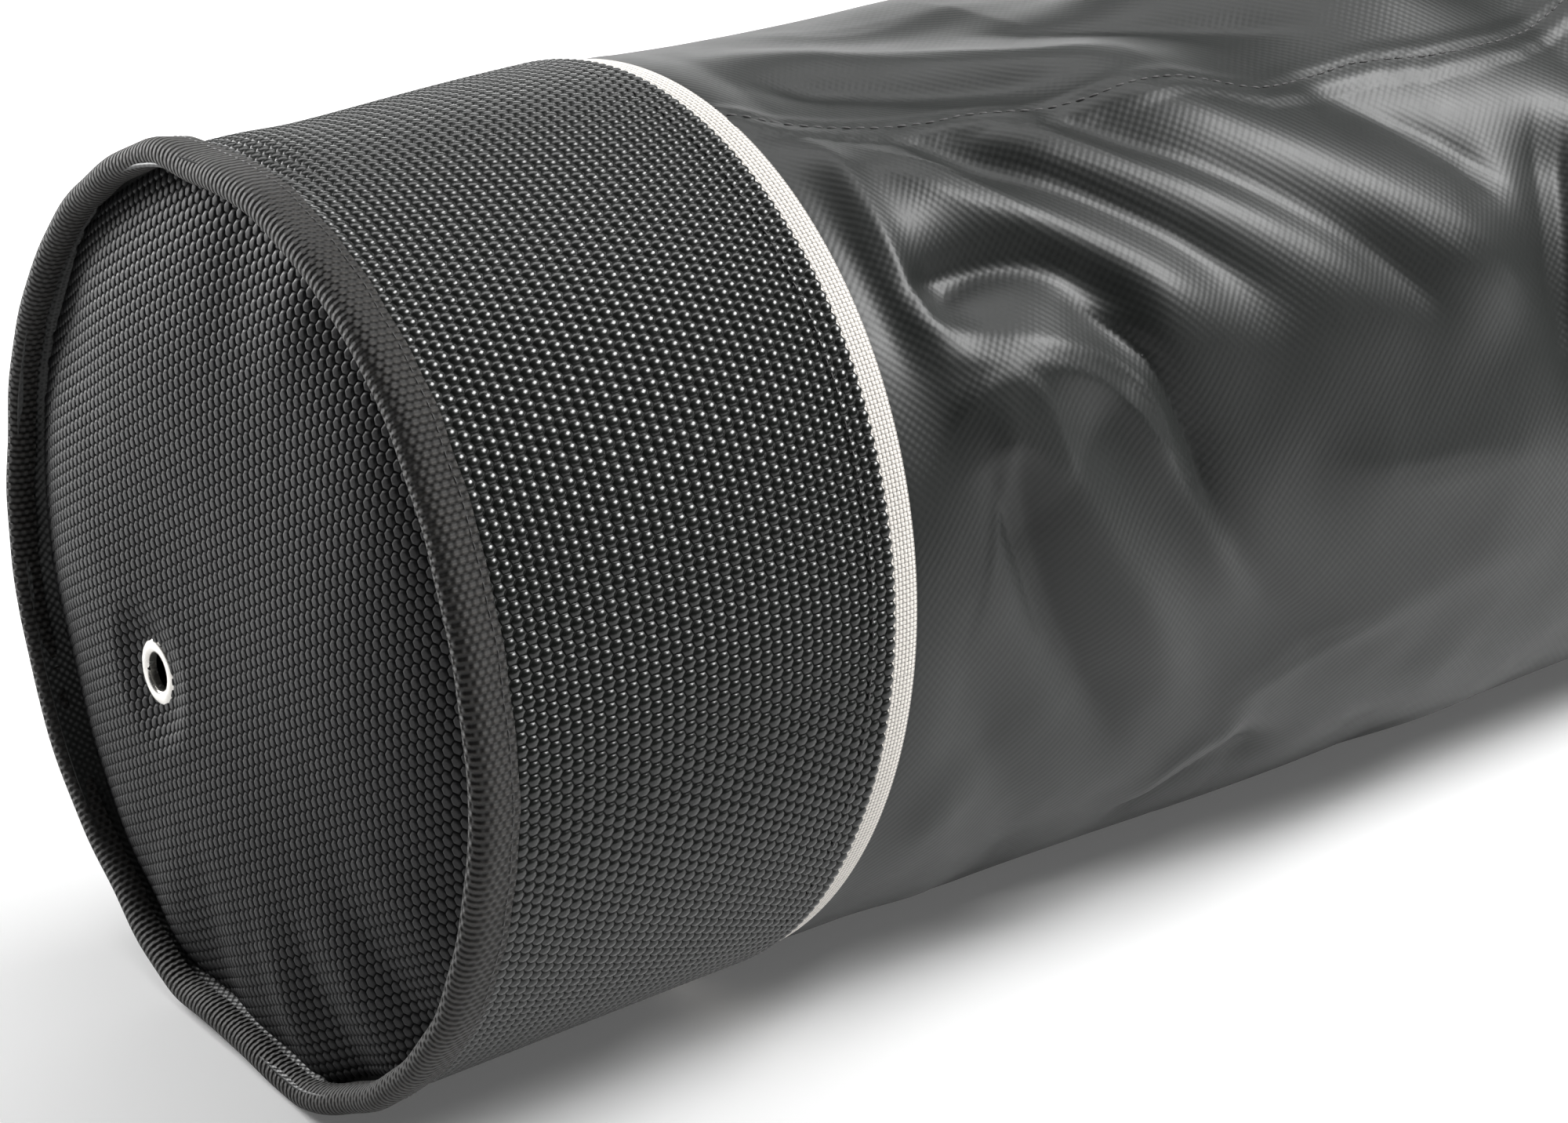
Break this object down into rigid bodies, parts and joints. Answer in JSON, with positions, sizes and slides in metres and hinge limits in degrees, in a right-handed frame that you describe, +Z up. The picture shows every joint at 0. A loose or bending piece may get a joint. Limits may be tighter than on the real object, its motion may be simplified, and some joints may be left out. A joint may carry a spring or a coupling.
{
  "type": "rope storage bag",
  "caption": "Round tarpaulin rope bag lying on its side: studded base with a drain eyelet, pale trim tape, hinged lid, padded straps and a grab handle.",
  "frame": {"origin": "middle of the bag's box, on the ground that it lies on", "axes": "+X along the bag from its base to its mouth, +Y towards its back with the straps, +Z up as it lies"},
  "size_m": [0.6038, 0.3278, 0.2828],
  "materials": {
    "tarpaulin": "satin PVC-coated basket weave",
    "studded_fabric": "rubber-coated fabric with small raised studs",
    "rim_tape": "ribbed woven tape, matt",
    "trim_tape": "pale woven ribbon, matt",
    "webbing": "woven polyester webbing",
    "pad_cloth": "foam pad covered in woven cloth and mesh",
    "closure_tape": "hook and loop tape",
    "eyelet_metal": "nickel plate",
    "buckle_plastic": "moulded acetal",
    "clear_film": "clear flexible film",
    "card": "blank card"
  },
  "bodies": {
    "bag": {"base_panel": "studded_fabric", "base_binding": "rim_tape", "drain_eyelet": "eyelet_metal", "drain_washer": "eyelet_metal", "lower_band": "studded_fabric", "trim_tape": "trim_tape", "body_tube": "tarpaulin", "seam_backing": "webbing", "mouth_binding": "rim_tape", "rope_tie_loop_base": "webbing", "rope_tie_loop_mouth": "webbing", "loop_patch": "closure_tape", "hinge_strap_body": "webbing", "strap_yoke": "tarpaulin", "handle_root_upper": "webbing", "handle_root_lower": "webbing", "shoulder_pad_left": "pad_cloth", "adjuster_keeper_left": "webbing", "strap_webbing_left": "webbing", "strap_anchor_left": "tarpaulin", "shoulder_pad_right": "pad_cloth", "adjuster_keeper_right": "webbing", "strap_webbing_right": "webbing", "strap_anchor_right": "tarpaulin"},
    "lid": {"lid_panel": "tarpaulin", "lid_skirt": "tarpaulin", "lid_binding": "rim_tape", "lid_hem": "rim_tape", "hook_patch": "closure_tape", "hinge_strap_lid": "webbing", "lid_pull_tab": "webbing", "name_pocket": "clear_film", "name_card": "card"},
    "handle": {"grab_handle": "webbing", "handle_grip": "pad_cloth"},
    "adjuster_left": {"strap_adjuster_left": "buckle_plastic", "strap_tail_left": "webbing"},
    "adjuster_right": {"strap_adjuster_right": "buckle_plastic", "strap_tail_right": "webbing"}
  },
  "joints": [
    {"name": "lid_hinge", "type": "hinge", "parent": "bag", "child": "lid", "pos_m": [0.2591, 0.12459, 0.137], "axis": [0, 0, 1], "range_deg": [0, 115]},
    {"name": "handle_swing", "type": "hinge", "parent": "bag", "child": "handle", "pos_m": [0.1971, 0.12187, 0.137], "axis": [0, 0, 1], "range_deg": [-35, 35]},
    {"name": "adjuster_left_tilt", "type": "hinge", "parent": "bag", "child": "adjuster_left", "pos_m": [-0.057, 0.11889, 0.19724], "axis": [0, 0.4067, -0.9135], "range_deg": [0, 35]},
    {"name": "adjuster_right_tilt", "type": "hinge", "parent": "bag", "child": "adjuster_right", "pos_m": [-0.057, 0.11889, 0.07676], "axis": [0, -0.4067, -0.9135], "range_deg": [0, 35]}
  ]
}
